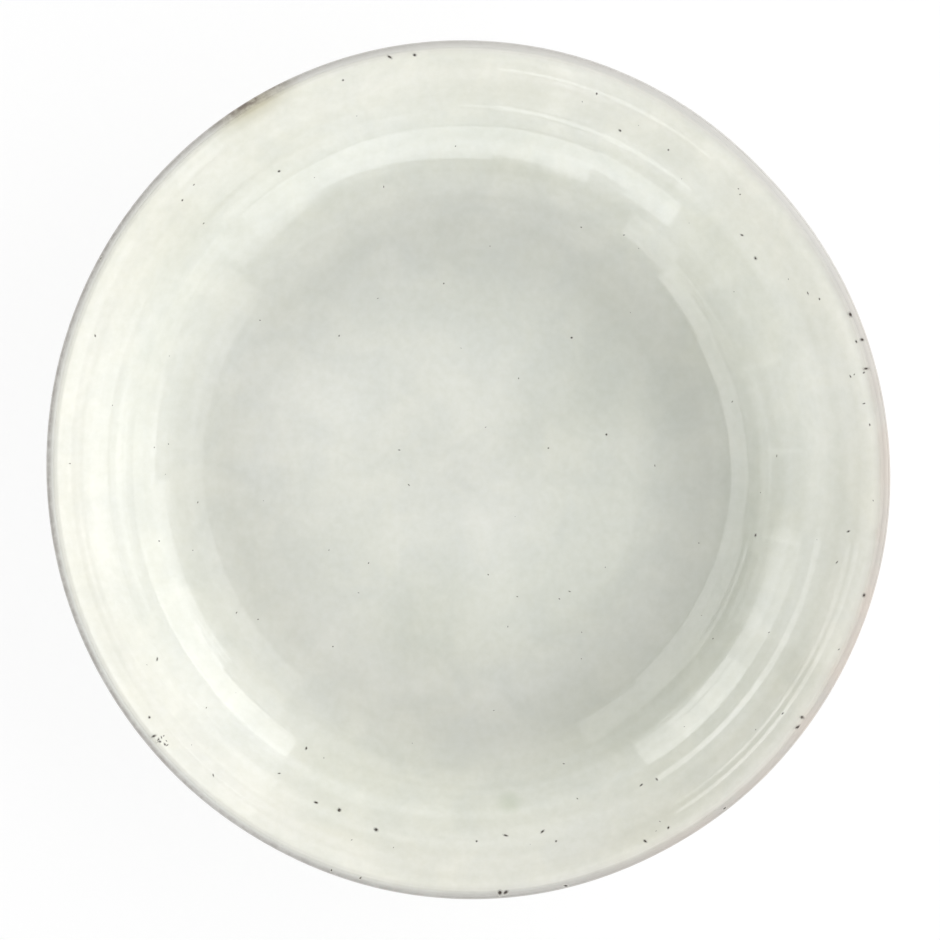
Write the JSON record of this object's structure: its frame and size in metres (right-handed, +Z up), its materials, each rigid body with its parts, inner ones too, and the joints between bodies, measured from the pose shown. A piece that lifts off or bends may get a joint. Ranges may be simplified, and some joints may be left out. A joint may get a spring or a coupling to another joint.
{
  "type": "deep plate",
  "caption": "Deep plate of glazed stoneware with a wide flat-floored well, a flaring grooved wall, a thin rounded lip and a turned foot ring.",
  "frame": {"origin": "middle of the foot ring, at the height of the surface that the plate stands on", "axes": "+Z up out of the well; +Y towards the top of the plate as pictured, near the long diameter of its slightly oval plan"},
  "size_m": [0.218, 0.222, 0.0452],
  "materials": {
    "bare_stoneware": "matte",
    "inside_glaze": "gloss",
    "outside_glaze": "gloss",
    "underside_glaze": "gloss"
  },
  "bodies": {
    "root": {"stoneware_body": "bare_stoneware", "inside_glaze": "inside_glaze", "outside_glaze": "outside_glaze", "underside_glaze": "underside_glaze"}
  },
  "joints": []
}
